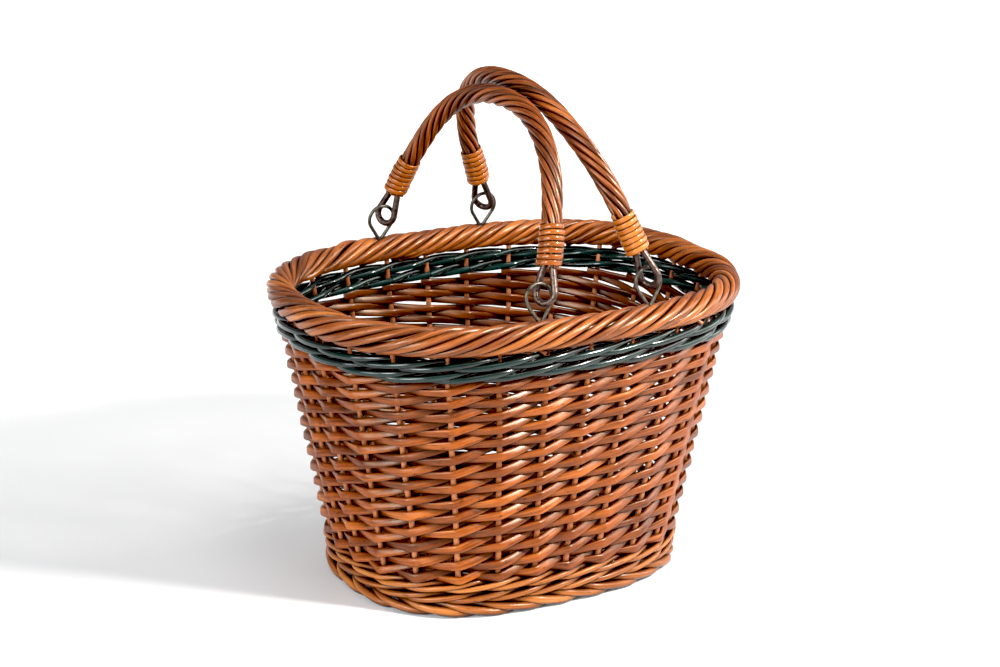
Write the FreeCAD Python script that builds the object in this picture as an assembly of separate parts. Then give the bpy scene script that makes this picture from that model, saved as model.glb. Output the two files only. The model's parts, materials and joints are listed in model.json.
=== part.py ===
import FreeCAD, Part
import math
import os

# A woven willow shopping basket: an oval body that widens towards a thick
# twisted rim, and two leaning bow handles that swing on wire eyes.
# Millimetres, +Z up. The origin is on the floor under the middle of the basket,
# +X is the long axis and +Y the short one.

os.makedirs("parts", exist_ok=True)
Vector = FreeCAD.Vector
UP = Vector(0, 0, 1)

# ---------------------------------------------------------------- dimensions
# Oval plan: |x/a|^n + |y/b|^n = 1. The stakes stand on an oval that widens
# evenly with height.
OVAL_POWER = 2.68
STAKE_A0, STAKE_A_SLOPE = 148.0, 0.200
STAKE_B0, STAKE_B_SLOPE = 113.5, 0.143
OVAL_POINTS = 52

# Foot border, base plate and base sticks
FOOT_A, FOOT_B = 152.8, 118.05
FOOT_R, FOOT_Z = 7.2, 6.6
PLATE_A, PLATE_B = 145.2, 110.4
PLATE_Z0, PLATE_Z1 = 2.0, 13.8
STICK_R = 2.0
CROSS_Z, LONG_Z = 5.1, 9.5
LONG_COUNT, LONG_PITCH = 5, 9.0
CROSS_COUNT, CROSS_PITCH = 9, 28.0
STICK_MARGIN = 4.0

# Side stakes
STAKE_COUNT = 26
STAKE_R = 2.7
STAKE_Z0, STAKE_Z1 = 9.0, 264.0
CHANNEL_GAP = 0.1

# Woven bands of the side: bottom, top and half thickness
UPSETT = (14.1, 34.0, 7.2)
RANDING = (34.3, 229.4, 6.9)
GREEN_LOWER = (229.7, 239.7, 9.2)
GREEN_UPPER = (240.0, 250.0, 9.2)

# Rim border
RIM_A, RIM_B = 200.0, 150.8
RIM_R, RIM_Z = 11.9, 265.0

# Rim eyes: a wire loop whose round top is the bearing of a handle
WIRE_R = 1.5
LOOP_R = 12.5
LOOP_DROP = 20.0
LEG_GAP = 1.7
LEG_DEPTH = 11.0
LOOP_TILT = 9.0
EYE_Y, EYE_Z = 143.5, 296.4

# Handle eyes: a loop of heavier wire linked through a rim eye
LINK_R = 2.7
LINK_BEND = 8.9
LINK_LOW = -4.0
LINK_NECK = 4.0
LINK_LEG = 10.0
LINK_TILT = 14.0
LINK_TWIST = 30.0
LINK_CROSS = 12.5
LINK_INSET = 1.1
# Inner line of the small bend where a loop runs into its legs
KNEE_R = 5.0

# Handles
ROPE_R, ROPE_END_R = 9.2, 9.0
ROPE_START = 26.4
BINDING_END = 64.3
BINDING_R = 10.8
CORE_R = 3.2
CORE_START = 41.0
BLEND_FROM, BLEND_OVER = 35.0, 45.0
# name: hinge x, lean towards the middle, offset of the bow's plane from the
# hinge along +X, half width, height, roundness, sideways shift of the top
HANDLES = {
    "left": (-51.0, 14.9, 4.2, 132.6, 146.7, 2.27, -6.1),
    "right": (58.0, -19.5, 2.0, 140.6, 159.8, 2.22, 11.9),
}


# ------------------------------------------------------------------- helpers
def save(shape, name):
    shape.exportStep("parts/" + name + ".step")


def signed_power(value, power):
    return math.copysign(abs(value) ** power, value)


def oval_xy(a, b, angle):
    power = 2.0 / OVAL_POWER
    x = a * signed_power(math.cos(angle), power)
    y = b * signed_power(math.sin(angle), power)
    return x, y


def even_angles(a, b, count):
    """Oval parameters evenly spaced along the perimeter, from the middle of -Y."""
    steps = 20000
    angles = [-math.pi / 2 + 2 * math.pi * i / steps for i in range(steps + 1)]
    points = [oval_xy(a, b, t) for t in angles]
    lengths = [0.0]
    for p, q in zip(points, points[1:]):
        lengths.append(lengths[-1] + math.dist(p, q))
    found = []
    index = 0
    for k in range(count):
        target = lengths[-1] * k / count
        while lengths[index + 1] < target:
            index += 1
        span = lengths[index + 1] - lengths[index]
        share = (target - lengths[index]) / span
        found.append(angles[index] + share * (angles[index + 1] - angles[index]))
    return found


def stake_axes(z):
    return STAKE_A0 + STAKE_A_SLOPE * z, STAKE_B0 + STAKE_B_SLOPE * z


WALL_ANGLES = even_angles(*stake_axes(130.0), OVAL_POINTS)
STAKE_ANGLES = even_angles(*stake_axes(130.0), STAKE_COUNT)


def oval_curve(a, b, z):
    curve = Part.BSplineCurve()
    points = [Vector(*oval_xy(a, b, t), z) for t in WALL_ANGLES]
    curve.interpolate(Points=points, PeriodicFlag=True)
    return curve


def oval_wire(a, b, z):
    return Part.Wire(oval_curve(a, b, z).toShape())


def oval_loft(z0, z1, offset):
    """Solid bounded by the stake oval moved out by offset, from z0 to z1."""
    wires = []
    for z in (z0, z1):
        a, b = stake_axes(z)
        wires.append(oval_wire(a + offset, b + offset, z))
    return Part.makeLoft(wires, True, True)


def round_sweep(path, radius, normal):
    """Round bar along a flat edge or wire; normal is the path plane's normal."""
    first = path.Edges[0]
    start = first.valueAt(first.FirstParameter)
    tangent = first.tangentAt(first.FirstParameter)
    ring = Part.Wire(Part.Circle(start, tangent, radius).toShape())
    sweep = Part.BRepOffsetAPI.MakePipeShell(Part.Wire(path))
    sweep.setBiNormalMode(normal)
    sweep.add(ring)
    sweep.build()
    sweep.makeSolid()
    return sweep.shape()


def bar(p, q, radius):
    axis = q - p
    return Part.makeCylinder(radius, axis.Length, p, axis)


# -------------------------------------------------------------------- stakes
def stake_point(angle, z):
    return Vector(*oval_xy(*stake_axes(z), angle), z)


def stake_bars(radius, z0, z1):
    return [bar(stake_point(t, z0), stake_point(t, z1), radius) for t in STAKE_ANGLES]


stakes = Part.makeCompound(stake_bars(STAKE_R, STAKE_Z0, STAKE_Z1))
save(stakes, "side_stakes")

# Channels are a little wider than the stakes and run on to their blind ends.
channels = stake_bars(STAKE_R + CHANNEL_GAP, STAKE_Z0, STAKE_Z1)


def woven_band(z0, z1, half):
    shell = oval_loft(z0, z1, half).cut(oval_loft(z0 - 1, z1 + 1, -half))
    return shell.cut(channels)


for band_name, (z0, z1, half) in {
    "upsett_wale": UPSETT,
    "side_weave": RANDING,
    "green_wale_lower": GREEN_LOWER,
    "green_wale_upper": GREEN_UPPER,
}.items():
    save(woven_band(z0, z1, half), band_name)

# ---------------------------------------------------------------------- base
# The foot border is a round rope pressed flat where it stands on the floor.
foot_path = oval_curve(FOOT_A, FOOT_B, FOOT_Z).toShape()
foot = round_sweep(foot_path, FOOT_R, UP)
below_floor = Part.makeBox(500, 500, 20, Vector(-250, -250, -20))
save(foot.cut(below_floor).cut(channels), "foot_border")


def half_chord(across, a_along, b_across):
    return a_along * (1 - (abs(across) / b_across) ** OVAL_POWER) ** (1 / OVAL_POWER)


def base_sticks(radius):
    long_bars = []
    for i in range(LONG_COUNT):
        y = (i - (LONG_COUNT - 1) / 2) * LONG_PITCH
        reach = half_chord(y, PLATE_A, PLATE_B) - STICK_MARGIN
        long_bars.append(bar(Vector(-reach, y, LONG_Z), Vector(reach, y, LONG_Z), radius))
    cross_bars = []
    for i in range(CROSS_COUNT):
        x = (i - (CROSS_COUNT - 1) / 2) * CROSS_PITCH
        reach = half_chord(x, PLATE_B, PLATE_A) - STICK_MARGIN
        cross_bars.append(bar(Vector(x, -reach, CROSS_Z), Vector(x, reach, CROSS_Z), radius))
    return long_bars, cross_bars


long_sticks, cross_sticks = base_sticks(STICK_R)
save(Part.makeCompound(long_sticks), "base_long_sticks")
save(Part.makeCompound(cross_sticks), "base_cross_sticks")

plate_foot = Part.Face(oval_wire(PLATE_A, PLATE_B, PLATE_Z0))
plate = plate_foot.extrude(Vector(0, 0, PLATE_Z1 - PLATE_Z0))
long_slots, cross_slots = base_sticks(STICK_R + CHANNEL_GAP)
save(plate.cut(long_slots + cross_slots), "base_weave")


# ------------------------------------------------------------------ rim eyes
def teardrop(centre, toward, across, bend, neck, leg, radius):
    """Loop of wire bent round centre and closed down to two parallel legs.

    The legs point along toward. neck is half the gap between them and how far
    from the centre they begin.
    """
    half_gap, reach = neck
    touch = math.atan2(half_gap, reach) + math.acos(bend / math.hypot(half_gap, reach))
    out, along = bend * math.sin(touch), bend * math.cos(touch)
    slant = math.atan2(out - half_gap, reach - along)
    set_back = KNEE_R * math.tan(slant / 2)
    bulge = KNEE_R / math.cos(slant / 2) - KNEE_R
    halves = []
    for hand in (-1, 1):
        outward = across * hand
        knee = centre + outward * half_gap + toward * reach
        leaving = outward * math.sin(slant) - toward * math.cos(slant)
        inner = (leaving + toward).normalize()
        leg_end = knee + toward * leg
        shoulder = centre + outward * out + toward * along
        bend_points = (knee + toward * set_back, knee + inner * bulge, knee + leaving * set_back)
        halves.append((leg_end, *bend_points, shoulder))
    (end_a, a1, a2, a3, shoulder_a), (end_b, b1, b2, b3, shoulder_b) = halves
    path = [
        Part.LineSegment(end_a, a1),
        Part.Arc(a1, a2, a3),
        Part.LineSegment(a3, shoulder_a),
        Part.Arc(shoulder_a, centre - toward * bend, shoulder_b),
        Part.LineSegment(shoulder_b, b3),
        Part.Arc(b3, b2, b1),
        Part.LineSegment(b1, end_b),
    ]
    wire = Part.Wire([piece.toShape() for piece in path])
    return round_sweep(wire, radius, across.cross(toward))


def rim_eye(hinge_x, side, radius):
    """Upright loop planted in the rim; side is +1 at +Y and -1 at -Y."""
    centre = Vector(hinge_x, side * EYE_Y, EYE_Z)
    tilt = math.radians(LOOP_TILT)
    down = Vector(0, side * math.sin(tilt), -math.cos(tilt))
    return teardrop(centre, down, Vector(1, 0, 0), LOOP_R, (LEG_GAP, LOOP_DROP), LEG_DEPTH, radius)


# ------------------------------------------------------------------- handles
def smooth_step(value):
    value = min(max(value, 0.0), 1.0)
    return value * value * (3 - 2 * value)


class Handle:
    """One bow in its own plane: s is measured up from the hinge line."""

    def __init__(self, settings):
        hinge_x, lean, self.offset, self.half, self.height, self.power, self.shift = settings
        angle = math.radians(lean)
        self.up = Vector(math.sin(angle), 0, math.cos(angle))
        self.normal = Vector(math.cos(angle), 0, -math.sin(angle))
        self.hinge_x = hinge_x
        self.origin = Vector(hinge_x, 0, EYE_Z) + self.normal * self.offset
        self.path = self.bow_edge()

    def at(self, y, s):
        return self.origin + self.up * s + Vector(0, y, 0)

    def leg_y(self, s):
        """Distance of the straight lower leg from the middle."""
        slope = math.tan(math.radians(LINK_TILT))
        return EYE_Y - LINK_INSET - (s - LINK_CROSS) * slope

    def bow_point(self, angle):
        s = self.height * abs(math.sin(angle)) ** (2 / self.power)
        y = self.half * abs(math.cos(angle)) ** (2 / self.power)
        if s < BLEND_FROM + BLEND_OVER:
            y += (self.leg_y(s) - y) * (1 - smooth_step((s - BLEND_FROM) / BLEND_OVER))
        y = math.copysign(y, math.cos(angle))
        return self.at(y + self.shift * smooth_step(s / self.height), s)

    def start_angle(self):
        return math.asin((ROPE_START / self.height) ** (self.power / 2))

    def bow_edge(self):
        first = self.start_angle()
        steps = 36
        angles = [first + (math.pi - 2 * first) * i / steps for i in range(steps + 1)]
        curve = Part.BSplineCurve()
        curve.interpolate([self.bow_point(t) for t in angles])
        return curve.toShape()

    def height_of(self, point):
        return (point - self.origin).dot(self.up)

    def parameter_at(self, s, first_leg):
        """Path parameter where a leg reaches height s above the hinge line."""
        edge = self.path
        middle = (edge.FirstParameter + edge.LastParameter) / 2
        low = edge.FirstParameter if first_leg else edge.LastParameter
        high = middle
        for _ in range(50):
            guess = (low + high) / 2
            if self.height_of(edge.valueAt(guess)) < s:
                low = guess
            else:
                high = guess
        return (low + high) / 2

    def stretch(self, s_from, s_to=None, side=0):
        """Part of the path: one leg (side +1 or -1) or, with side 0, all above s_from."""
        curve = self.path.Curve
        edge = self.path
        if side == 0:
            return curve.toShape(self.parameter_at(s_from, True), self.parameter_at(s_from, False))
        if side > 0:
            begin = edge.FirstParameter
            return curve.toShape(begin, self.parameter_at(s_to, True))
        return curve.toShape(self.parameter_at(s_to, False), edge.LastParameter)

    def round_on(self, edge, radius):
        return round_sweep(edge, radius, self.normal)

    def link(self, side, radius):
        """Hanging loop at the end of one leg, turned a little out of the bow's plane."""
        tilt = math.radians(LINK_TILT)
        twist = math.radians(LINK_TWIST)
        along = self.up * math.cos(tilt) - Vector(0, side * math.sin(tilt), 0)
        in_plane = Vector(0, side * math.cos(tilt), 0) + self.up * math.sin(tilt)
        across = in_plane * math.cos(twist) - self.normal * (side * math.sin(twist))
        crossing = self.at(side * (EYE_Y - LINK_INSET), LINK_CROSS)
        centre_s = LINK_LOW + LINK_BEND
        centre = crossing + along * (centre_s - LINK_CROSS)
        neck = (LINK_NECK, ROPE_START + 1 - centre_s)
        return teardrop(centre, along, across, LINK_BEND, neck, LINK_LEG, radius)


def make_handle(name, settings):
    handle = Handle(settings)
    ends = handle.round_on(handle.path, ROPE_END_R)
    bow = handle.round_on(handle.stretch(BINDING_END + 0.3), ROPE_R)
    rope = ends.fuse(bow)
    core = handle.round_on(handle.stretch(CORE_START), CORE_R)
    bore = handle.round_on(handle.stretch(CORE_START), CORE_R + CHANNEL_GAP)
    rope = rope.cut(bore)
    for side, place in ((1, "back"), (-1, "front")):
        link = handle.link(side, LINK_R)
        pocket = handle.link(side, LINK_R + CHANNEL_GAP)
        rope = rope.cut(pocket)
        save(link, "handle_eye_" + name + "_" + place)
        leg = handle.stretch(ROPE_START, BINDING_END, side)
        sleeve = handle.round_on(leg, BINDING_R).cut(handle.round_on(leg, ROPE_END_R + 0.05))
        save(sleeve.cut(pocket), "binding_" + name + "_" + place)
    save(rope, "handle_rope_" + name)
    save(core, "handle_core_" + name)


rim = round_sweep(oval_curve(RIM_A, RIM_B, RIM_Z).toShape(), RIM_R, UP).cut(channels)
for handle_name, handle_settings in HANDLES.items():
    for eye_side, eye_place in ((1, "back"), (-1, "front")):
        eye = rim_eye(handle_settings[0], eye_side, WIRE_R)
        rim = rim.cut(rim_eye(handle_settings[0], eye_side, WIRE_R + CHANNEL_GAP))
        save(eye, "rim_eye_" + handle_name + "_" + eye_place)
    make_handle(handle_name, handle_settings)
save(rim, "rim_border")
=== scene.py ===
import json
import math
import bpy
import numpy as np
from mathutils import Matrix, Vector


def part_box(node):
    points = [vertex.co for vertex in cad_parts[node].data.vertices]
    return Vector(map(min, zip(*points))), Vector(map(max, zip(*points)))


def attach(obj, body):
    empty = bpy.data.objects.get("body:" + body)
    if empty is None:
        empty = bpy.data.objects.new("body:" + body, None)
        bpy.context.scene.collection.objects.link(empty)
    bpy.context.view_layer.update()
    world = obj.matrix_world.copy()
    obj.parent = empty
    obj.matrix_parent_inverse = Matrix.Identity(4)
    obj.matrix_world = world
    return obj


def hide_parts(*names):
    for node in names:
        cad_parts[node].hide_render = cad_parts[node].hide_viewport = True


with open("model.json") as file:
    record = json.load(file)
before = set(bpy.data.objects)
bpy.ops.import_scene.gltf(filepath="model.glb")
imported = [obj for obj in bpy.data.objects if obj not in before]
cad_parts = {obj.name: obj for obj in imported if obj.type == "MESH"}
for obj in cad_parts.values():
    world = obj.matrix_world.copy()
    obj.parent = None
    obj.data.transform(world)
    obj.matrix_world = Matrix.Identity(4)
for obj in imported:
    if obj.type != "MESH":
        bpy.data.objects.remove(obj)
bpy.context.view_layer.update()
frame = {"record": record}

MM = 0.001
TURN = 2 * math.pi
UP = (0, 0, 1)
RNG = np.random.default_rng(26)

# ------------------------------------------------------------ sizes from the CAD
OVAL_POWER = 2.68
STAKES = 26


def half_sizes(node):
    """Half of a node's box along X and Y, then its lowest and highest Z."""
    low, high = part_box(node)
    return (high[0] - low[0]) / 2, (high[1] - low[1]) / 2, low[2], high[2]


RIM_OUT_A, RIM_OUT_B, RIM_LOW, RIM_HIGH = half_sizes("rim_border")
RIM_R = (RIM_HIGH - RIM_LOW) / 2
RIM_A, RIM_B, RIM_Z = RIM_OUT_A - RIM_R, RIM_OUT_B - RIM_R, (RIM_HIGH + RIM_LOW) / 2

UPSETT_A, UPSETT_B, UPSETT_LOW, UPSETT_HIGH = half_sizes("upsett_wale")
WEAVE_A, WEAVE_B, WEAVE_LOW, WEAVE_HIGH = half_sizes("side_weave")
# From the stakes' axes to the outer face of each band
UPSETT_HALF, WEAVE_HALF = 7.2 * MM, 6.9 * MM
A_SLOPE = (WEAVE_A - WEAVE_HALF - UPSETT_A + UPSETT_HALF) / (WEAVE_HIGH - UPSETT_HIGH)
B_SLOPE = (WEAVE_B - WEAVE_HALF - UPSETT_B + UPSETT_HALF) / (WEAVE_HIGH - UPSETT_HIGH)
FOOT_LOW, FOOT_HIGH = half_sizes("foot_border")[2:]
PLATE_A, PLATE_B, PLATE_LOW, PLATE_HIGH = half_sizes("base_weave")
PLATE_Z = (PLATE_LOW + PLATE_HIGH) / 2


def stake_axes(z):
    """Half sizes of the oval through the stakes' axes, which widens with height."""
    return (
        UPSETT_A - UPSETT_HALF + A_SLOPE * (z - UPSETT_HIGH),
        UPSETT_B - UPSETT_HALF + B_SLOPE * (z - UPSETT_HIGH),
    )


def signed_power(values, power):
    return np.sign(values) * np.abs(values) ** power


def oval_xy(a, b, angle):
    power = 2 / OVAL_POWER
    return a * signed_power(np.cos(angle), power), b * signed_power(np.sin(angle), power)


def arc_table(a, b, steps=24000):
    """Share of the perimeter, from the middle of -Y, against the oval's parameter."""
    angle = -math.pi / 2 + TURN * np.arange(steps + 1) / steps
    x, y = oval_xy(a, b, angle)
    length = np.concatenate([[0], np.cumsum(np.hypot(np.diff(x), np.diff(y)))])
    return length / length[-1], angle, length[-1]


WALL_MIDDLE_Z = 0.130
WALL_SHARE, WALL_ANGLE, _ = arc_table(*stake_axes(WALL_MIDDLE_Z))
RIM_SHARE, RIM_ANGLE, _ = arc_table(RIM_A, RIM_B)
# The stakes are a little out of their even places, in shares of their spacing.
STAKE_DRIFT = RNG.normal(0, 0.03, STAKES)


def wall_point(w, z):
    """Place on the stakes' oval at height z. w counts stakes round the wall."""
    drift = np.interp(np.asarray(w) % STAKES, np.arange(STAKES + 1), np.append(STAKE_DRIFT, STAKE_DRIFT[0]))
    share = (np.asarray(w) + drift) / STAKES
    angle = np.interp(share % 1.0, WALL_SHARE, WALL_ANGLE)
    a, b = stake_axes(np.asarray(z))
    x, y = oval_xy(a, b, angle)
    return np.stack([x, y, np.broadcast_to(z, x.shape)], -1)


def unit(v):
    return v / np.maximum(np.linalg.norm(v, axis=-1, keepdims=True), 1e-12)


def wall_frame(w, z):
    """Place on the stakes' oval, the wall's outward normal there and its upward direction."""
    w = np.asarray(w, float)
    z = np.broadcast_to(np.asarray(z, float), w.shape)
    aside, above = 0.02, 0.002
    here = wall_point(w, z)
    along = wall_point(w + aside, z) - wall_point(w - aside, z)
    rising = wall_point(w, z + above) - wall_point(w, z - above)
    normal = unit(np.cross(along, rising))
    return here, normal, unit(rising)


# ------------------------------------------------------------------ swept rods
# Each rod's grain starts somewhere within this many metres
GRAIN_RANGE = 3
# Step in the grain from corner to corner of a rod's cut end
CAP_GRAIN = 0.0004


def round_section(sides):
    angle = TURN * np.arange(sides) / sides
    return np.stack([np.cos(angle), np.sin(angle)], -1)


def oval_section(power, sides=14):
    angle = TURN * (np.arange(sides) + 0.5) / sides
    return np.stack([signed_power(np.cos(angle), 2 / power), signed_power(np.sin(angle), 2 / power)], -1)


ROUND = round_section(10)
SHAVED = oval_section(3.4, 12)
STRAND = oval_section(2.6)
CANE_STRIP = oval_section(2.8)


def swell(count, knots, amount):
    """Slow uneven change of thickness along a rod, through values at even places."""
    places = np.linspace(0, 1, len(knots))
    return 1 + amount * np.interp(np.linspace(0, 1, count), places, knots)


class Rods:
    """Gathers swept rods into one mesh. UVs are metres round and along each rod."""

    def __init__(self):
        self.points, self.quads, self.caps, self.uvs, self.tints = [], [], [], [], []
        self.total = 0

    def add(self, path, side, half_wide, half_thick, section=ROUND, closed=False, tint=None):
        """Sweeps a section along the path. side is the direction of the section's width."""
        path = np.asarray(path, float)
        n, m = len(path), len(section)
        if closed:
            tangent = np.roll(path, -1, 0) - np.roll(path, 1, 0)
        else:
            tangent = np.gradient(path, axis=0)
        tangent = unit(tangent)
        side = np.broadcast_to(np.asarray(side, float), path.shape)
        wide = unit(side - tangent * np.sum(side * tangent, -1, keepdims=True))
        thick = np.cross(tangent, wide)
        half_wide = np.broadcast_to(np.asarray(half_wide, float), (n,))
        half_thick = np.broadcast_to(np.asarray(half_thick, float), (n,))
        ring = (
            path[:, None]
            + wide[:, None] * (section[None, :, 0:1] * half_wide[:, None, None])
            + thick[:, None] * (section[None, :, 1:2] * half_thick[:, None, None])
        )
        steps = np.linalg.norm(np.diff(path, axis=0, append=path[:1]), axis=1)
        along = np.concatenate([[0], np.cumsum(steps)])
        around = np.linalg.norm(np.diff(section, axis=0, append=section[:1]), axis=1)
        around = np.concatenate([[0], np.cumsum(around)]) * float(half_wide.mean() + half_thick.mean()) / 2
        start = RNG.uniform(0, GRAIN_RANGE)
        last = n if closed else n - 1
        i = np.arange(last)[:, None]
        j = np.arange(m)[None, :]
        i2, j2 = (i + 1) % n, (j + 1) % m
        base = self.total
        quads = np.stack([base + i * m + j, base + i2 * m + j, base + i2 * m + j2, base + i * m + j2], -1)
        u0 = np.broadcast_to(around[:-1][None, :], (last, m))
        u1 = np.broadcast_to(around[1:][None, :], (last, m))
        v0 = np.broadcast_to(along[:last][:, None] + start, (last, m))
        v1 = np.broadcast_to(along[1 : last + 1][:, None] + start, (last, m))
        uv = np.stack([u0, v0, u0, v1, u1, v1, u1, v0], -1)
        self.points.append(ring.reshape(-1, 3))
        self.quads.append(quads.reshape(-1, 4))
        self.uvs.append(uv.reshape(-1, 4, 2))
        self.tints.append(np.full(n * m, RNG.uniform() if tint is None else tint))
        if not closed:
            self.caps.append((base + np.arange(m)[::-1], start))
            self.caps.append((base + (n - 1) * m + np.arange(m), start + along[n - 1]))
        self.total += n * m

    def build(self, name, material, sharp_degrees=50):
        points = np.concatenate(self.points)
        quads = np.concatenate(self.quads)
        uvs = np.concatenate(self.uvs).reshape(-1, 2)
        loops = quads.reshape(-1)
        sizes = np.full(len(quads), 4)
        for corners, v in self.caps:
            loops = np.concatenate([loops, corners])
            sizes = np.append(sizes, len(corners))
            spot = np.stack([np.arange(len(corners)) * CAP_GRAIN, np.full(len(corners), v)], -1)
            uvs = np.concatenate([uvs, spot])
        mesh = bpy.data.meshes.new(name)
        mesh.vertices.add(len(points))
        mesh.vertices.foreach_set("co", points.astype(np.float32).ravel())
        mesh.loops.add(len(loops))
        mesh.loops.foreach_set("vertex_index", loops.astype(np.int32))
        mesh.polygons.add(len(sizes))
        starts = np.concatenate([[0], np.cumsum(sizes)[:-1]])
        mesh.polygons.foreach_set("loop_start", starts.astype(np.int32))
        mesh.polygons.foreach_set("use_smooth", np.ones(len(sizes), bool))
        layer = mesh.uv_layers.new(name="grain")
        layer.data.foreach_set("uv", uvs.astype(np.float32).ravel())
        tint = mesh.attributes.new("rod", "FLOAT", "POINT")
        tint.data.foreach_set("value", np.concatenate(self.tints).astype(np.float32))
        mesh.update(calc_edges=True)
        mesh.validate()
        mesh.set_sharp_from_angle(angle=math.radians(sharp_degrees))
        mesh.materials.append(material)
        piece = bpy.data.objects.new(name, mesh)
        bpy.context.collection.objects.link(piece)
        return piece


# ------------------------------------------------------------------- materials
BLACK, WHITE = (0, 0, 0), (1, 1, 1)
# Colour of the painted shade in the gaps between rods
GAP_SHADE_COLOUR = (0.010, 0.0015, 0.0003)
# How near another rod has to be for the painted shade to darken a place
GAP_SHADE_REACH = 0.007
# Weights in a rod's tone of its own tint and of noises from fine to coarse
TINT_WEIGHT, STREAK_WEIGHT, MOTTLE_WEIGHT, PATCH_WEIGHT = 0.26, 0.62, 0.26, 0.28
MEAN_TONE = 0.41
SCAR_DEPTH = 0.55
ROD_ROUGH_SPREAD, WIRE_ROUGH_SPREAD = 0.22, 0.4


def new_material(name):
    material = bpy.data.materials.new(name)
    material.use_nodes = True
    nodes = material.node_tree.nodes
    return material, nodes, material.node_tree.links, nodes["Principled BSDF"]


def math_node(nodes, links, operation, a, b):
    node = nodes.new("ShaderNodeMath")
    node.operation = operation
    for socket, value in zip(node.inputs, (a, b)):
        if isinstance(value, (int, float)):
            socket.default_value = value
        else:
            links.new(value, socket)
    return node.outputs[0]


def weighted_sum(nodes, links, terms, constant=0.0):
    """Adds (source, weight) terms to a constant."""
    total = constant
    for source, weight in terms:
        weighted = math_node(nodes, links, "MULTIPLY", source, weight)
        total = math_node(nodes, links, "ADD", weighted, total)
    return total


def ramp_node(nodes, links, factor, stops):
    node = nodes.new("ShaderNodeValToRGB")
    ramp = node.color_ramp
    while len(ramp.elements) < len(stops):
        ramp.elements.new(0.5)
    for element, (place, colour) in zip(ramp.elements, stops):
        element.position = place
        element.color = (*colour, 1)
    links.new(factor, node.inputs["Fac"])
    return node.outputs["Color"]


def scaled_noise(nodes, links, coordinates, scales, detail, rough):
    combine = nodes.new("ShaderNodeCombineXYZ")
    for socket, source, scale in zip(combine.inputs, coordinates, scales):
        links.new(math_node(nodes, links, "MULTIPLY", source, scale), socket)
    noise = nodes.new("ShaderNodeTexNoise")
    noise.inputs["Scale"].default_value = 1.0
    noise.inputs["Detail"].default_value = detail
    noise.inputs["Roughness"].default_value = rough
    links.new(combine.outputs[0], noise.inputs["Vector"])
    return noise.outputs["Fac"]


def bump_node(nodes, links, shader, height, strength, distance):
    bump = nodes.new("ShaderNodeBump")
    bump.inputs["Strength"].default_value = strength
    bump.inputs["Distance"].default_value = distance
    links.new(height, bump.inputs["Height"])
    links.new(bump.outputs["Normal"], shader.inputs["Normal"])


def painted_gap_shade(nodes, links, colour, power):
    """Painted shade: the rods are darkened where they lie close together, standing for the shade in the
    gaps between them.
    """
    nearness = nodes.new("ShaderNodeAmbientOcclusion")
    nearness.samples = 4
    nearness.inputs["Distance"].default_value = GAP_SHADE_REACH
    openness = math_node(nodes, links, "POWER", nearness.outputs["AO"], power)
    darken = nodes.new("ShaderNodeMix")
    darken.data_type = "RGBA"
    darken.inputs["A"].default_value = (*GAP_SHADE_COLOUR, 1)
    links.new(openness, darken.inputs["Factor"])
    links.new(colour, darken.inputs["B"])
    return darken.outputs["Result"]


def painted_inside_shade(nodes, links, colour, inside):
    """Painted shade: surfaces that face the middle of the basket are darker, by the factor inside."""
    geometry = nodes.new("ShaderNodeNewGeometry")
    flat = nodes.new("ShaderNodeVectorMath")
    flat.operation = "MULTIPLY"
    flat.inputs[1].default_value = (1, 1, 0)
    links.new(geometry.outputs["Position"], flat.inputs[0])
    outward = nodes.new("ShaderNodeVectorMath")
    outward.operation = "NORMALIZE"
    links.new(flat.outputs[0], outward.inputs[0])
    facing = nodes.new("ShaderNodeVectorMath")
    facing.operation = "DOT_PRODUCT"
    links.new(outward.outputs[0], facing.inputs[0])
    links.new(geometry.outputs["Normal"], facing.inputs[1])
    shade = nodes.new("ShaderNodeMapRange")
    shade.inputs["From Min"].default_value = -0.5
    shade.inputs["From Max"].default_value = 0.2
    shade.inputs["To Min"].default_value = inside
    links.new(facing.outputs["Value"], shade.inputs["Value"])
    scale = nodes.new("ShaderNodeVectorMath")
    scale.operation = "SCALE"
    links.new(colour, scale.inputs[0])
    links.new(shade.outputs["Result"], scale.inputs["Scale"])
    return scale.outputs[0]


# gaps is how strongly painted shade darkens the rods where they lie close together.
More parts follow.
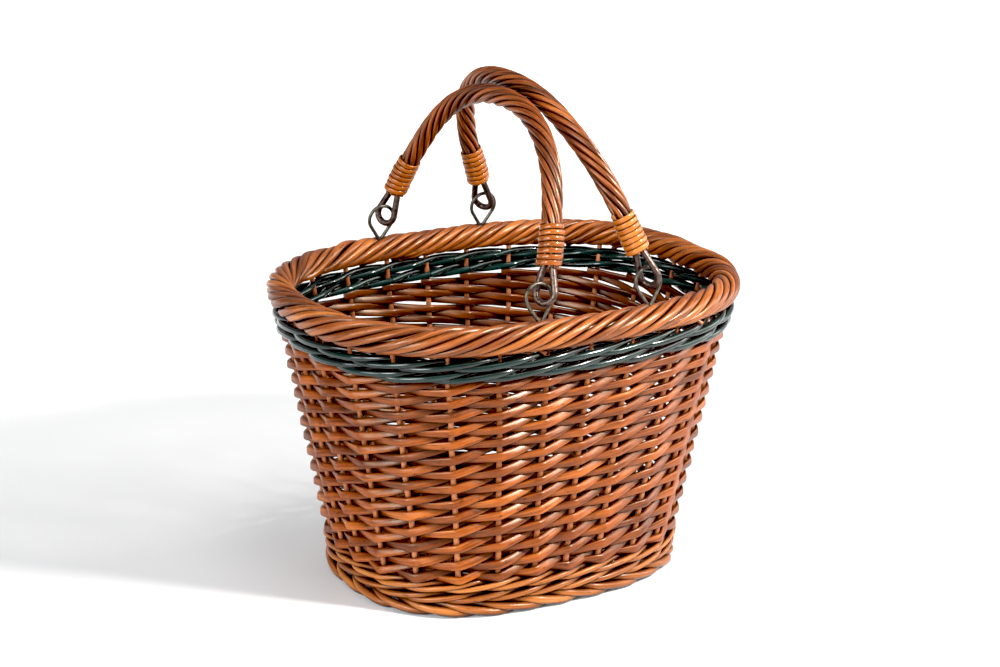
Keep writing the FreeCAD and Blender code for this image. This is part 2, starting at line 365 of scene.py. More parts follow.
def willow(
    name, tones, rough=0.40, coat=0.40, coat_rough=0.25, contrast=1.0, gap_shade_power=1.9, shine=0.32, inside=1.0,
    glint=(1.0, 0.70, 0.48),
):
    """Varnished rods: grain runs along each rod and every rod has its own tone."""
    material, nodes, links, shader = new_material(name)
    uv = nodes.new("ShaderNodeUVMap")
    uv.uv_map = "grain"
    split = nodes.new("ShaderNodeSeparateXYZ")
    links.new(uv.outputs["UV"], split.inputs[0])
    rod = nodes.new("ShaderNodeAttribute")
    rod.attribute_name = "rod"
    tint = rod.outputs["Fac"]
    place = (split.outputs["X"], split.outputs["Y"], tint)
    streak = scaled_noise(nodes, links, place, (640, 15, 91), 4, 0.65)
    mottle = scaled_noise(nodes, links, place, (90, 38, 57), 3, 0.6)
    patch = scaled_noise(nodes, links, place, (20, 9, 23), 2, 0.5)
    terms = (
        (tint, TINT_WEIGHT), (streak, STREAK_WEIGHT * contrast),
        (mottle, MOTTLE_WEIGHT * contrast), (patch, PATCH_WEIGHT),
    )
    # Every source is about 0.5 on average.
    average = sum(weight for _, weight in terms) / 2
    tone = weighted_sum(nodes, links, terms, MEAN_TONE - average)
    stops = [(i / (len(tones) - 1), colour) for i, colour in enumerate(tones)]
    colour = ramp_node(nodes, links, tone, stops)
    # Small dark scars and leaf marks
    scar = scaled_noise(nodes, links, place, (420, 120, 131), 2, 0.5)
    scar = ramp_node(nodes, links, scar, [(0.30, BLACK), (0.36, WHITE)])
    mix = nodes.new("ShaderNodeMix")
    mix.data_type = "RGBA"
    mix.blend_type = "MULTIPLY"
    mix.inputs["Factor"].default_value = SCAR_DEPTH
    links.new(colour, mix.inputs["A"])
    links.new(scar, mix.inputs["B"])
    # Painted shade: faces towards the middle of the basket are darkened by the factor inside.
    colour = painted_inside_shade(nodes, links, mix.outputs["Result"], inside)
    # Painted shade darkens the colour where rods lie close together.
    links.new(painted_gap_shade(nodes, links, colour, gap_shade_power), shader.inputs["Base Color"])
    wear = weighted_sum(nodes, links, [(mottle, ROD_ROUGH_SPREAD)], rough - ROD_ROUGH_SPREAD / 2)
    links.new(wear, shader.inputs["Roughness"])
    shader.inputs["Coat Weight"].default_value = coat
    shader.inputs["Coat Roughness"].default_value = coat_rough
    shader.inputs["IOR"].default_value = 1.5
    shader.inputs["Specular IOR Level"].default_value = shine
    shader.inputs["Specular Tint"].default_value = (*glint, 1)
    height = weighted_sum(nodes, links, [(streak, 1.0), (mottle, 1.3)])
    bump_node(nodes, links, shader, height, 0.6, 0.0004)
    return material


def wire(name, dark, light, rough):
    """Oxidised wire with blotches and fine pits."""
    material, nodes, links, shader = new_material(name)
    place = nodes.new("ShaderNodeTexCoord")
    blotch, fine = [nodes.new("ShaderNodeTexNoise") for _ in range(2)]
    for noise, scale, detail in ((blotch, 260, 5), (fine, 1500, 3)):
        noise.inputs["Scale"].default_value = scale
        noise.inputs["Detail"].default_value = detail
        links.new(place.outputs["Object"], noise.inputs["Vector"])
    blotch, fine = blotch.outputs["Fac"], fine.outputs["Fac"]
    colour = ramp_node(nodes, links, blotch, [(0.32, dark), (0.55, light), (0.72, dark)])
    links.new(colour, shader.inputs["Base Color"])
    shader.inputs["Metallic"].default_value = 0.75
    wear = weighted_sum(nodes, links, [(blotch, WIRE_ROUGH_SPREAD)], rough - WIRE_ROUGH_SPREAD / 2)
    links.new(wear, shader.inputs["Roughness"])
    height = weighted_sum(nodes, links, [(fine, 1.0), (blotch, 1.0)])
    bump_node(nodes, links, shader, height, 0.4, 0.0002)
    return material


# Tones of each kind of rod, from its darkest places to its lightest
BROWN = [
    (0.016, 0.003, 0.001), (0.095, 0.018, 0.002), (0.228, 0.050, 0.005),
    (0.40, 0.108, 0.015), (0.64, 0.26, 0.07),
]
RIM_BROWN = [
    (0.022, 0.005, 0.001), (0.105, 0.024, 0.004), (0.26, 0.067, 0.011),
    (0.45, 0.146, 0.030), (0.66, 0.31, 0.11),
]
HANDLE_BROWN = [
    (0.014, 0.003, 0.001), (0.072, 0.014, 0.002), (0.205, 0.046, 0.006),
    (0.40, 0.112, 0.020), (0.65, 0.29, 0.09),
]
GOLD = [
    (0.06, 0.015, 0.004), (0.20, 0.055, 0.011), (0.37, 0.122, 0.027),
    (0.50, 0.200, 0.055), (0.64, 0.32, 0.12),
]
CANE = [
    (0.09, 0.020, 0.003), (0.22, 0.055, 0.007), (0.38, 0.110, 0.016),
    (0.51, 0.180, 0.034), (0.64, 0.30, 0.08),
]
PEG = [
    (0.16, 0.045, 0.015), (0.32, 0.10, 0.036), (0.47, 0.17, 0.070),
    (0.59, 0.24, 0.115), (0.69, 0.33, 0.18),
]
GREEN = [
    (0.002, 0.005, 0.004), (0.003, 0.012, 0.009), (0.005, 0.020, 0.016),
    (0.010, 0.036, 0.029), (0.025, 0.07, 0.055),
]

# gaps and inside set the painted shade: in the gaps between rods, and on faces towards the middle of the
# basket.
SIDE_MATERIAL = willow(
    "side_willow", BROWN, rough=0.36, coat=0.20, coat_rough=0.26, contrast=1.6, gap_shade_power=3.0, shine=0.50,
    inside=0.42,
)
RIM_MATERIAL = willow(
    "rim_willow", RIM_BROWN, rough=0.36, coat=0.22, coat_rough=0.26, contrast=1.65, gap_shade_power=3.0, shine=0.60
)
FOOT_MATERIAL = willow("foot_willow", GOLD, contrast=1.25, gap_shade_power=2.6, shine=0.2)
BASE_MATERIAL = willow("base_willow", BROWN, rough=0.45, coat=0.1)
STAKE_MATERIAL = willow("stake_willow", PEG, rough=0.42, coat=0.15, gap_shade_power=0.6, inside=0.7)
GREEN_MATERIAL = willow(
    "green_willow", GREEN, rough=0.30, coat=1.0, coat_rough=0.16, contrast=1.5, shine=0.05, glint=WHITE
)
HANDLE_MATERIAL = willow(
    "handle_willow", HANDLE_BROWN, rough=0.34, coat=0.15, contrast=1.8, gap_shade_power=3.4, shine=0.65
)
CANE_MATERIAL = willow(
    "binding_cane", CANE, rough=0.32, coat=0.6, coat_rough=0.16, contrast=1.2, gap_shade_power=3.0, shine=0.15
)
RIM_WIRE = wire("rim_wire", (0.036, 0.031, 0.024), (0.115, 0.100, 0.078), 0.36)
HANDLE_WIRE = wire("handle_wire", (0.030, 0.018, 0.014), (0.105, 0.072, 0.058), 0.34)


# ------------------------------------------------------------------- side weave
# Stakes that each side rod passes on its way up
SIDE_STROKES = 27
# From the stakes' axes to the middle of a rod
SIDE_REACH = 0.0049
SIDE_HALF_WIDE, SIDE_HALF_THICK = 0.0040, 0.0021
# Slow rise and fall of each rod: how many places, and how far
LEVEL_KNOTS, LEVEL_DRIFT = 24, 0.0008
# Turn of a rod's flat face in radians: a steady part, and one that comes and goes
SIDE_TILT, SIDE_TWIST = 0.22, 0.52


def rounded_zigzag(phase, sharp=0.995):
    """Zigzag between +1 at even phases and -1 at odd ones, a little rounded."""
    return np.arcsin(sharp * np.cos(math.pi * phase)) / math.asin(sharp)


def side_weave():
    """One rod starts at each stake and climbs: over a stake, behind the next."""
    rods = Rods()
    # Samples crowd round each stake, where the rods bend sharply.
    near_stake = np.array([-0.20, -0.10, -0.05, -0.02, 0.02, 0.05, 0.10, 0.20, 0.37, 0.63])
    step = (np.arange(-1, SIDE_STROKES + 1)[:, None] + near_stake).ravel()
    step = step[step < SIDE_STROKES + 0.3]
    bottom_gap, top_gap = 0.0032, 0.0006
    first, last = WEAVE_LOW + bottom_gap, WEAVE_HIGH - top_gap
    share = step / SIDE_STROKES
    # The rows lie closer together towards the top.
    crowding = 0.13
    level = first + (last - first) * (share * (1 + crowding) - crowding * share**2)
    level_drift = RNG.normal(0, LEVEL_DRIFT, (STAKES, LEVEL_KNOTS))
    swing = rounded_zigzag(step)
    for k in range(STAKES):
        z = level + np.interp(share, np.linspace(0, 1, LEVEL_KNOTS), level_drift[k])
        z = np.clip(z, first, last)
        here, normal, up = wall_frame(k + step, z)
        reach = SIDE_REACH * (1 + RNG.normal(0, 0.045))
        path = here + normal * (swing * reach)[:, None]
        taper = 1.03 - 0.13 * np.clip(share, 0, 1)
        wide = SIDE_HALF_WIDE * taper * swell(len(step), RNG.normal(0, 1, 18), 0.065)
        # The flat face turns up where the rod runs inwards to the next stake.
        tilt = (SIDE_TILT + SIDE_TWIST * np.sin(math.pi * step))[:, None]
        rods.add(path, up * np.cos(tilt) - normal * np.sin(tilt), wide, SIDE_HALF_THICK * taper, SHAVED)
    piece = rods.build("side_weave_rods", SIDE_MATERIAL, 38)
    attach(piece, "basket")
    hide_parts("side_weave")


def stakes():
    """Upright stakes that sway a little and thin towards the rim."""
    rods = Rods()
    low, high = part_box("side_stakes")[0][2] + 0.001, RIM_Z
    foot_radius, thinning = 0.00275, 0.0004
    knots = 9
    z = np.linspace(low, high, 40)
    for k in range(STAKES):
        sway = np.interp(z, np.linspace(low, high, knots), RNG.normal(0, 0.012, knots))
        here, normal, up = wall_frame(k + sway, z)
        radius = foot_radius - thinning * (z - low) / (high - low)
        radius = radius * swell(len(z), RNG.normal(0, 1, knots), 0.04)
        rods.add(here, np.cross(normal, up), radius, radius)
    piece = rods.build("stake_rods", STAKE_MATERIAL)
    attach(piece, "basket")
    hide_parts("side_stakes")


# --------------------------------------------------------------- three-rod wales
# Stakes in one pattern of the wale, and samples from stake to stake
WALE_STAKES = 3
WALE_SAMPLES = 8
STAKE_RADIUS = 0.0027
WALE_DRIFT = 0.0004


def cyclic(values, phase):
    """Smooth curve through values spaced evenly over one pattern of three stakes."""
    n = len(values)
    x = (np.asarray(phase) / WALE_STAKES * n) % n
    i = np.floor(x).astype(int)
    f = x - i
    p = [np.take(values, (i + d) % n) for d in (-1, 0, 1, 2)]
    return 0.5 * (
        2 * p[1] + (p[2] - p[0]) * f + (2 * p[0] - 5 * p[1] + 4 * p[2] - p[3]) * f**2
        + (3 * p[1] - p[0] - 3 * p[2] + p[3]) * f**3
    )


def wale(rods, z_middle, radius, climb, lean, shift=0.0, out=1.0):
    """Rods that pass before two stakes and behind the third. lean is which way they slant."""
    reach = STAKE_RADIUS + radius
    offsets = np.array([-1.0, 0.05, 1.0, 1.22, 1.0, 0.05]) * reach * out
    lift = np.array([0.0, -0.95, -0.85, 0.0, 0.85, 0.95]) * climb * lean
    # The stakes are no multiple of three, so one path of three rounds makes all three rods.
    count = STAKES * WALE_STAKES * WALE_SAMPLES
    phase = np.arange(count) / WALE_SAMPLES
    w = phase - shift
    z = z_middle + cyclic(lift, phase)
    drift = np.append(RNG.normal(0, 1, STAKES), 0)
    z = z + WALE_DRIFT * np.interp(w % STAKES, np.arange(STAKES + 1), drift)
    here, normal, up = wall_frame(w, z)
    path = here + normal * cyclic(offsets, phase)[:, None]
    # New rods are laid in behind a stake, where the joint is out of sight.
    joints = np.array([0, 4, 9, 13, 17, 22, 26]) * WALE_STAKES * WALE_SAMPLES
    for begin, end in zip(joints[:-1], joints[1:]):
        span = np.arange(begin, end + 1) % count
        size = radius * swell(len(span), RNG.normal(0, 1, 22), 0.07)
        rods.add(path[span], up[span], size, size * 0.94)


def wale_piece(name, node, material, rows):
    rods = Rods()
    for row in rows:
        wale(rods, **row)
    piece = rods.build(name, material)
    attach(piece, "basket")
    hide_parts(node)


def wales():
    low, high = UPSETT_LOW, UPSETT_HIGH
    quarter = (high - low) / 4
    wale_piece(
        "upsett_rods", "upsett_wale", FOOT_MATERIAL,
        [
            dict(z_middle=low + quarter, radius=0.0028, climb=0.0027, lean=1),
            dict(z_middle=high - quarter, radius=0.0026, climb=0.0026, lean=1, shift=1.0),
        ],
    )
    middle = (FOOT_LOW + FOOT_HIGH) / 2
    wale_piece(
        "foot_rods", "foot_border", FOOT_MATERIAL,
        [dict(z_middle=middle + 0.001, radius=0.0037, climb=0.0031, lean=-1, out=1.04)],
    )
    for band, shift in (("green_wale_lower", 0.0), ("green_wale_upper", 1.6)):
        z0, z1 = half_sizes(band)[2:]
        middle = (z0 + z1) / 2
        wale_piece(
            band + "_rods", band, GREEN_MATERIAL,
            [dict(z_middle=middle + 0.0006, radius=0.0031, climb=0.0027, lean=1, shift=shift, out=1.10)],
        )


# ------------------------------------------------------------------- rim border
RIM_RODS = 68
# Rods that start within one turn round the rim's section
RIM_STRANDS = 8
RIM_HALF_WIDE, RIM_HALF_THICK = 0.0036, 0.0035
RIM_SAMPLES = 64
# Where a rod starts, ends and has its middle, in turns round the rim's section
RIM_FROM, RIM_TO, RIM_MIDDLE = -0.36, 0.80, 0.22
# Each end sinks this far, from this many turns off the middle and over this many turns
TUCK_DEPTH, TUCK_FROM, TUCK_OVER = 0.0045, 0.44, 0.14
CUT_ENDS = 14


def rim_frame(share):
    """Middle of the rim at a share of its length, with its direction and the way outwards."""
    angle = np.interp(share % 1.0, RIM_SHARE, RIM_ANGLE)
    x, y = oval_xy(RIM_A, RIM_B, angle)
    after = np.interp((share + 0.002) % 1.0, RIM_SHARE, RIM_ANGLE)
    before = np.interp((share - 0.002) % 1.0, RIM_SHARE, RIM_ANGLE)
    x2, y2 = oval_xy(RIM_A, RIM_B, after)
    x1, y1 = oval_xy(RIM_A, RIM_B, before)
    tangent = unit(np.stack([x2 - x1, y2 - y1, np.zeros_like(x)], -1))
    outward = np.stack([tangent[:, 1], -tangent[:, 0], np.zeros_like(x)], -1)
    return np.stack([x, y, np.full_like(x, RIM_Z)], -1), tangent, outward


def rim_rod(rods, k):
    """One rod comes up from below outside, over the top and down inside."""
    swing = np.linspace(RIM_FROM, RIM_TO, RIM_SAMPLES)
    turns_at = k / RIM_STRANDS + swing + RNG.normal(0, 0.008)
    share = turns_at * RIM_STRANDS / RIM_RODS
    # The rods lie longest at the front left and shortest at the back right.
    share = share + 0.036 * np.sin(TURN * (share - 0.84))
    here, tangent, outward = rim_frame(share)
    angle = TURN * (swing - 0.07)
    radial = outward * np.cos(angle)[:, None] + np.array(UP) * np.sin(angle)[:, None]
    # Both ends are tucked in below the others.
    tuck = np.clip((np.abs(swing - RIM_MIDDLE) - TUCK_FROM) / TUCK_OVER, 0, 1)
    half_thick = RIM_HALF_THICK * (1 + RNG.normal(0, 0.07))
    depth = RIM_R + 0.0004 - half_thick * 0.98 - TUCK_DEPTH * tuck**2 + RNG.normal(0, 0.0006)
    # The border is thickest at the front left.
    depth = depth * (1 + 0.05 * np.cos(TURN * (share - 0.88)))
    path = here + radial * depth[:, None]
    # Each rod leans on the next one.
    lean = 0.27
    around = np.cross(tangent, radial) + radial * lean
    wide = (RIM_HALF_WIDE + 0.0003 * RNG.normal()) * (1.04 - 0.14 * np.linspace(0, 1, RIM_SAMPLES))
    rods.add(path, around, wide, half_thick, section=STRAND)


def cut_end(rods, share):
    """A short rod end that shows under the border."""
    here, tangent, outward = rim_frame(np.array([share]))
    start = here[0] - outward[0] * 0.002 - (0, 0, 0.008)
    end = start + tangent[0] * 0.009 + outward[0] * RNG.uniform(0.004, 0.008) - (0, 0, 0.007)
    rods.add([start, end], UP, 0.0023, 0.0023)


def rim_border():
    rods = Rods()
    for k in range(RIM_RODS):
        rim_rod(rods, k)
    for share in RNG.uniform(0, 1, CUT_ENDS):
        cut_end(rods, share)
    # A core, its colour painted dark as shade, closes the view between the rods.
    here, _, outward = rim_frame(np.arange(180) / 180)
    core_radius = RIM_R - 0.0048
    rods.add(here, outward, core_radius, core_radius, closed=True, tint=-0.9)
    piece = rods.build("rim_rods", RIM_MATERIAL)
    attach(piece, "basket")
    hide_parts("rim_border")


# ------------------------------------------------------------------------ base
LONG_STICKS, CROSS_STICKS = 5, 9
# Spacing of the sticks where the weavers cross them
LONG_PITCH, CROSS_PITCH = 0.009, 0.028
STICK_RADIUS = 0.0024
RINGS, RING_PITCH, RING_EDGE = 21, 0.0052, 0.0026
RING_LIFT, RING_HALF_WIDE, RING_HALF_THICK = 0.0034, 0.0024, 0.0020
# Distance between a ring's samples, and the fewest samples
RING_STEP, RING_LEAST = 0.0035, 24


def base_sticks():
    for node, name in (("base_long_sticks", "long_stick_rods"), ("base_cross_sticks", "cross_stick_rods")):
        rods = Rods()
        low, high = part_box(node)
        along_x = node == "base_long_sticks"
        across = LONG_STICKS if along_x else CROSS_STICKS
        edge = (high[1] if along_x else high[0]) - 0.002
        z = PLATE_Z + (0.0004 if along_x else -0.0004)
        a, b = (PLATE_A, PLATE_B) if along_x else (PLATE_B, PLATE_A)
        for i in range(across):
            c = -edge + 2 * edge * i / (across - 1)
            reach = a * (1 - (abs(c) / b) ** OVAL_POWER) ** (1 / OVAL_POWER) - 0.003
            t = np.linspace(-reach, reach, 30)
            line = np.stack([t, np.full_like(t, c), np.full_like(t, z)], -1)
            if not along_x:
                line = line[:, [1, 0, 2]]
            size = STICK_RADIUS * swell(len(t), RNG.normal(0, 1, 8), 0.05)
            rods.add(line, UP, size, size)
        piece = rods.build(name, STAKE_MATERIAL)
        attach(piece, "basket")
        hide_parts(node)


def base_weave():
    """Rings of weavers over and under the sticks, each ring opposite to the last."""
    rods = Rods()
    lines_x = [(i - CROSS_STICKS // 2) * CROSS_PITCH for i in range(CROSS_STICKS)]
    lines_y = [(i - LONG_STICKS // 2) * LONG_PITCH for i in range(LONG_STICKS)]
    for k in range(RINGS):
        a, b = PLATE_A - RING_EDGE - RING_PITCH * k, PLATE_B - RING_EDGE - RING_PITCH * k
        share, angles, length = arc_table(a, b, 6000)
        crossings = []
        x, y = oval_xy(a, b, angles[:-1])
        for line, values in [(c, x) for c in lines_x] + [(c, y) for c in lines_y]:
            sign = np.sign(values - line)
            found = np.where(sign != np.roll(sign, 1))[0]
            crossings += [share[i] for i in found]
        crossings = np.sort(np.array(crossings))
        count = max(int(length / RING_STEP), RING_LEAST)
        s = np.arange(count) / count
        # Counts the sticks passed so far, from the ring's first crossing.
        past_first = np.where(s < crossings[0], s + 1, s)
        order = np.interp(past_first, np.append(crossings, crossings[0] + 1), np.arange(len(crossings) + 1))
        px, py = oval_xy(a, b, np.interp(s, share, angles))
        lift = RING_LIFT * rounded_zigzag(order + k, 0.93)
        path = np.stack([px, py, PLATE_Z + lift], -1)
        outward = unit(np.stack([px / a**2, py / b**2, np.zeros_like(px)], -1))
        rods.add(path, outward, RING_HALF_WIDE, RING_HALF_THICK, closed=True)
    piece = rods.build("base_weave_rods", BASE_MATERIAL)
    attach(piece, "basket")
    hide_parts("base_weave")


# --------------------------------------------------------------------- handles
# The same values as in the CAD: millimetres, and degrees for the tilt and lean
LINK_TILT, LINK_CROSS, LINK_INSET = 14.0, 12.5, 1.1
BLEND_FROM, BLEND_OVER = 35.0, 45.0
ROPE_START, BINDING_END = 26.4, 64.3
EYE_Y = 143.5
# lean, offset of the bow's plane, half width, height, roundness, shift of the top
BOWS = {
    "left": (14.9, 4.2, 132.6, 146.7, 2.27, -6.1),
    "right": (-19.5, 2.0, 140.6, 159.8, 2.22, 11.9),
}
ROPE_R, ROPE_END_R = 9.2 * MM, 9.0 * MM
ROPE_STRANDS, ROPE_LAY = 8, 0.128
STRAND_HALF_WIDE, STRAND_HALF_THICK = 0.00252, 0.0026
CORE_RADIUS = 0.0043
CANE_TURNS = 7.2
CANE_HALF_WIDE, CANE_HALF_THICK = 0.00232, 0.00115


def smooth_step(value):
    value = np.clip(value, 0, 1)
    return value * value * (3 - 2 * value)


def round_about(normal, cross, angle):
    """Directions at right angles to the rope, at an angle from its normal."""
    return normal * np.cos(angle)[:, None] + cross * np.sin(angle)[:, None]


class Bow:
    """Middle line of a handle's rope, the same as in the CAD."""

    def __init__(self, side):
        lean, offset, half, height, power, shift = BOWS[side]
        joint = next(j for j in frame["record"]["behaviour"]["joints"] if j["child"] == side + "_handle")
        angle = math.radians(lean)
        up = np.array([math.sin(angle), 0, math.cos(angle)])
        self.normal = np.array([math.cos(angle), 0, -math.sin(angle)])
        origin = np.array(joint["pos_m"]) + self.normal * offset * MM
        first = math.asin((ROPE_START / height) ** (power / 2))
        turn = np.linspace(first, math.pi - first, 1400)
        s = height * np.abs(np.sin(turn)) ** (2 / power)
        y = half * np.abs(np.cos(turn)) ** (2 / power)
        leg = EYE_Y - LINK_INSET - (s - LINK_CROSS) * math.tan(math.radians(LINK_TILT))
        y = y + (leg - y) * (1 - smooth_step((s - BLEND_FROM) / BLEND_OVER))
        y = np.sign(np.cos(turn)) * y + shift * smooth_step(s / height)
        self.points = origin + (s * MM)[:, None] * up + (y * MM)[:, None] * np.array([0, 1, 0])
        steps = np.linalg.norm(np.diff(self.points, axis=0), axis=1)
        self.length_at = np.concatenate([[0], np.cumsum(steps)])
        self.length = self.length_at[-1]
        half_way = len(s) // 2
        from_front = (self.length - self.length_at)[::-1]
        # Length of rope under the binding at the back (1) and the front (-1)
        self.bound = {
            1: np.interp(BINDING_END, s[:half_way], self.length_at[:half_way]),
            -1: np.interp(BINDING_END, s[::-1][:half_way], from_front[:half_way]),
        }

    def frame(self, length):
        at = np.stack([np.interp(length, self.length_at, self.points[:, i]) for i in range(3)], -1)
        tangent = unit(np.gradient(at, axis=0))
        normal = np.broadcast_to(self.normal, at.shape)
        return at, tangent, normal, np.cross(tangent, normal)


def handle(side):
    bow = Bow(side)
    rope(bow, side)
    core(bow, side)
    binding(bow, side, "back", 1, 0.8)
    binding(bow, side, "front", -1, 2.2)


def rope(bow, side):
    """Strands twisted round the handle's core."""
    rods = Rods()
    length = np.linspace(0.0002, bow.length - 0.0002, 200)
    at, tangent, normal, cross = bow.frame(length)
    near_end = np.minimum(length, bow.length - length)
    # The twist relaxes inside the bindings, where the rods run straight.
    relaxed_to, relaxed_over = 0.022, 0.03
    rate = smooth_step((near_end - relaxed_to) / relaxed_over)
    twist = np.concatenate([[0], np.cumsum((rate[1:] + rate[:-1]) / 2 * np.diff(length))]) / ROPE_LAY
    thin_to, thin_over = 0.036, 0.02
    full = ROPE_END_R + (ROPE_R - ROPE_END_R) * smooth_step((near_end - thin_to) / thin_over)
    for k in range(ROPE_STRANDS):
        radial = round_about(normal, cross, -TURN * (twist + k / ROPE_STRANDS))
        wobble = 1 + 0.03 * np.sin(length * 70 + k * 2.1)
        path = at + radial * ((full - STRAND_HALF_THICK) * wobble)[:, None]
        wide = STRAND_HALF_WIDE * swell(len(length), RNG.normal(0, 1, 14), 0.05)
        rods.add(path, np.cross(tangent, radial), wide, STRAND_HALF_THICK)
    piece = rods.build("handle_strands_" + side, HANDLE_MATERIAL)
    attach(piece, side + "_handle")
    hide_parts("handle_rope_" + side)


def core(bow, side):
    rods = Rods()
    at, _, normal, _ = bow.frame(np.linspace(0.012, bow.length - 0.012, 90))
    # The core's lowered tint is painted shade where it shows between the strands.
    rods.add(at, normal, CORE_RADIUS, CORE_RADIUS, tint=-0.6)
    piece = rods.build("handle_core_rod_" + side, STAKE_MATERIAL)
    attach(piece, side + "_handle")
    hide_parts("handle_core_" + side)


def binding(bow, side, place, sign, first_angle):
    """Turns of flat cane laid side by side over the rope's end."""
    rods = Rods()
    edge = 0.0022
    t = np.linspace(0, 1, int(CANE_TURNS * 30))
    along = edge + (bow.bound[sign] - 2 * edge) * t
    length = along if sign > 0 else bow.length - along
    at, tangent, normal, cross = bow.frame(length)
    angle = TURN * CANE_TURNS * t + first_angle
    radial = round_about(normal, cross, angle)
    # The cane is drawn in at the end away from the eye.
    over_rope, drawn_in = 0.0010, 0.0008
    radius = ROPE_END_R + over_rope - drawn_in * smooth_step((t - 0.55) / 0.45)
    lap = 0.00025 * np.sin(angle * 0.5 + 1)
    path = at + radial * (radius + lap)[:, None]
    rods.add(path, tangent, CANE_HALF_WIDE, CANE_HALF_THICK, CANE_STRIP)
    piece = rods.build("binding_cane_%s_%s" % (side, place), CANE_MATERIAL, 60)
    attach(piece, side + "_handle")
    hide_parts("binding_%s_%s" % (side, place))


# ------------------------------------------------------------------- wire eyes
# material, slot, how far the wire is swollen, depth of its dents
EYES = {
    "rim_eye": (RIM_WIRE, "rim_wire", 0.00012, 0.00003),
    "handle_eye": (HANDLE_WIRE, "handle_wire", 0.00022, 0.00012),
}
# Two waves whose product dents the wire, in radians a metre along X, Y and Z
DENT_WAVES = np.array([900, 700, 800]), np.array([-500, 650, 450])


def eye(kind, side, place):
    """The CAD wire, a little swollen and hammered out of round."""
    material, slot, swollen, uneven = EYES[kind]
    name = "%s_%s_%s" % (kind, side, place)
    mesh = bpy.data.objects[name].data.copy()
    points, normals = [np.empty(len(mesh.vertices) * 3, np.float32) for _ in range(2)]
    mesh.vertices.foreach_get("co", points)
    mesh.vertices.foreach_get("normal", normals)
    points, normals = points.reshape(-1, 3), normals.reshape(-1, 3)
    dents = np.sin(points @ DENT_WAVES[0]) * np.sin(points @ DENT_WAVES[1] + 1)
    points = points + normals * (swollen + uneven * dents)[:, None]
    mesh.vertices.foreach_set("co", points.astype(np.float32).ravel())
    mesh.polygons.foreach_set("use_smooth", np.ones(len(mesh.polygons), bool))
    mesh.materials.clear()
    mesh.materials.append(material)
    mesh.update()
    piece = bpy.data.objects.new(name + "_wire", mesh)
    piece.matrix_world = bpy.data.objects[name].matrix_world
    bpy.context.collection.objects.link(piece)
    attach(piece, "basket" if kind == "rim_eye" else side + "_handle")
    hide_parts(name)


# ---------------------------------------------------------------------- studio
FLOOR_REACH = 9.0
LAMP_TARGET = Vector((0, 0, 0.2))


def pale_floor():
    mesh = bpy.data.meshes.new("floor")
    corners = [(x * FLOOR_REACH, y * FLOOR_REACH, 0) for x, y in ((-1, -1), (1, -1), (1, 1), (-1, 1))]
    mesh.from_pydata(corners, [], [(0, 1, 2, 3)])
    floor = bpy.data.objects.new("floor", mesh)
    bpy.context.collection.objects.link(floor)
    material, nodes, links, shader = new_material("pale_floor")
    shader.inputs["Base Color"].default_value = (0.70, 0.70, 0.70, 1)
    shader.inputs["Roughness"].default_value = 0.6
    shader.inputs["Specular IOR Level"].default_value = 0.2
    # The backdrop has its own light, which grows with the distance from the basket.
    geometry = nodes.new("ShaderNodeNewGeometry")
    away = nodes.new("ShaderNodeVectorMath")
    away.operation = "LENGTH"
    links.new(geometry.outputs["Position"], away.inputs[0])
    glow = nodes.new("ShaderNodeMapRange")
    glow.interpolation_type = "SMOOTHSTEP"
    glow.inputs["From Min"].default_value = 0.6
    glow.inputs["From Max"].default_value = 2.2
    glow.inputs["To Min"].default_value = 0.04
    glow.inputs["To Max"].default_value = 0.8
    links.new(away.outputs["Value"], glow.inputs["Value"])
    shader.inputs["Emission Color"].default_value = (1, 1, 1, 1)
    links.new(glow.outputs["Result"], shader.inputs["Emission Strength"])
    mesh.materials.append(material)


def aimed(name, data, backwards):
    """An object that looks along the opposite of a direction."""
    holder = bpy.data.objects.new(name, data)
    holder.rotation_euler = backwards.to_track_quat("Z", "Y").to_euler()
    bpy.context.collection.objects.link(holder)
    return holder


def from_front(azimuth, elevation):
    """Direction from the basket, turned from the front (-Y) towards +X and raised, in degrees."""
    az, el = math.radians(azimuth), math.radians(elevation)
    return Vector((math.sin(az) * math.cos(el), -math.cos(az) * math.cos(el), math.sin(el)))


def sun(name, azimuth, elevation, strength, spread, colour):
    light = bpy.data.lights.new(name, "SUN")
    light.energy = strength
    light.angle = math.radians(spread)
    light.color = colour
    aimed(name, light, from_front(azimuth, elevation))


def lamp(name, place, power, width, colour):
    light = bpy.data.lights.new(name, "AREA")
    light.shape = "DISK"
    light.energy = power
    light.size = width
    light.color = colour
    holder = aimed(name, light, Vector(place) - LAMP_TARGET)
    holder.location = place


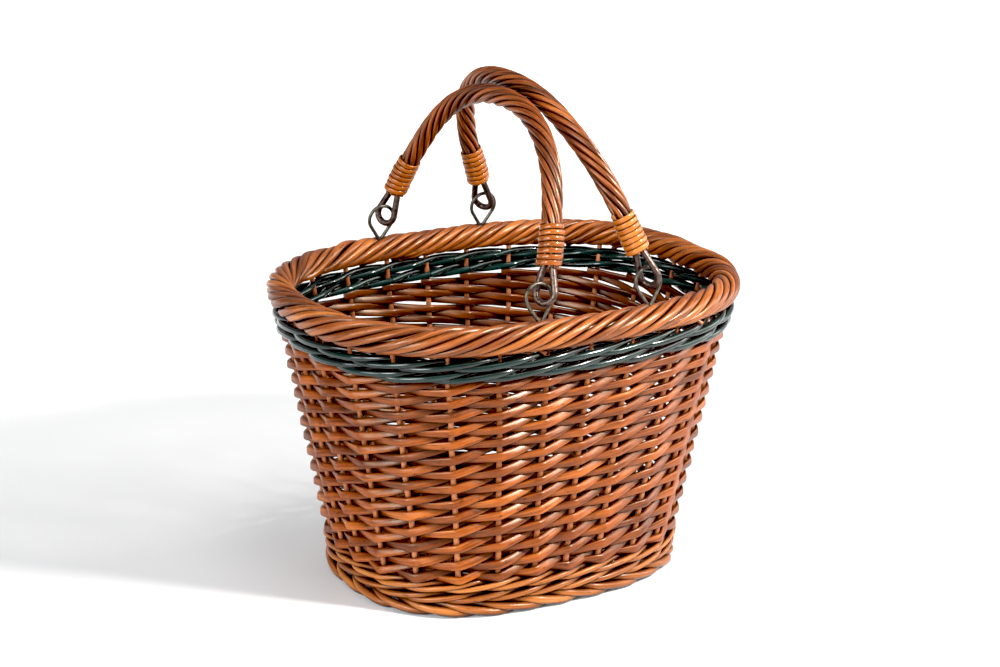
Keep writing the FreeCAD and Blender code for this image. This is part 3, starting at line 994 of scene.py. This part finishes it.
def surroundings():
    """Soft grey light from all round, brighter from the upper right."""
    world = bpy.data.worlds.new("studio")
    world.use_nodes = True
    nodes, links = world.node_tree.nodes, world.node_tree.links
    direction = nodes.new("ShaderNodeTexCoord")
    brightness = nodes.new("ShaderNodeVectorMath")
    brightness.operation = "DOT_PRODUCT"
    brightness.inputs[1].default_value = (0.6, -0.35, 0.7)
    links.new(direction.outputs["Generated"], brightness.inputs[0])
    strength = nodes.new("ShaderNodeMapRange")
    strength.inputs["From Min"].default_value = -1
    strength.inputs["To Min"].default_value = 0.10
    strength.inputs["To Max"].default_value = 0.62
    links.new(brightness.outputs["Value"], strength.inputs["Value"])
    links.new(strength.outputs["Result"], nodes["Background"].inputs["Strength"])
    nodes["Background"].inputs["Color"].default_value = (0.98, 0.99, 1.0, 1)
    bpy.context.scene.world = world


def studio():
    pale_floor()
    lamp("key", (0.57, -0.99, 1.0), 31, 0.16, (1.0, 0.97, 0.93))
    sun("top", 5, 72, 0.6, 22, (1.0, 1.0, 1.0))
    sun("left", -88, 14, 1.3, 24, (0.97, 0.98, 1.0))
    sun("side", 78, 14, 0.9, 24, (1.0, 0.98, 0.96))
    sun("front", 54, 28, 1.1, 30, (1.0, 0.98, 0.96))
    sun("fill", -60, 24, 2.8, 26, (0.96, 0.98, 1.0))
    surroundings()
    view = bpy.context.scene.view_settings
    view.view_transform = "Standard"
    view.use_curve_mapping = True
    view.curve_mapping.black_level = (0.016, 0.017, 0.015)


def camera():
    """The photograph's view, from one camera model fitted to it."""
    azimuth, elevation, roll = -30.3, 17.68, math.radians(1.02)
    distance, target = 2.225, Vector((-0.0008, 0.0063, 0.2154))
    back = from_front(azimuth, elevation)
    right = Vector(UP).cross(back).normalized()
    up = back.cross(right)
    tilted_right = right * math.cos(roll) + up * math.sin(roll)
    tilted_up = up * math.cos(roll) - right * math.sin(roll)
    data = bpy.data.cameras.new("camera")
    data.sensor_width = 36
    data.lens = 88.27
    data.clip_end = 60
    holder = bpy.data.objects.new("camera", data)
    rotation = Matrix((tilted_right, tilted_up, back)).transposed().to_4x4()
    holder.matrix_world = Matrix.Translation(target + back * distance) @ rotation
    bpy.context.collection.objects.link(holder)
    bpy.context.scene.camera = holder


camera()
studio()
side_weave()
stakes()
wales()
rim_border()
base_sticks()
base_weave()
handle("left")
handle("right")
for eye_side in ("left", "right"):
    for eye_place in ("back", "front"):
        for eye_kind in EYES:
            eye(eye_kind, eye_side, eye_place)
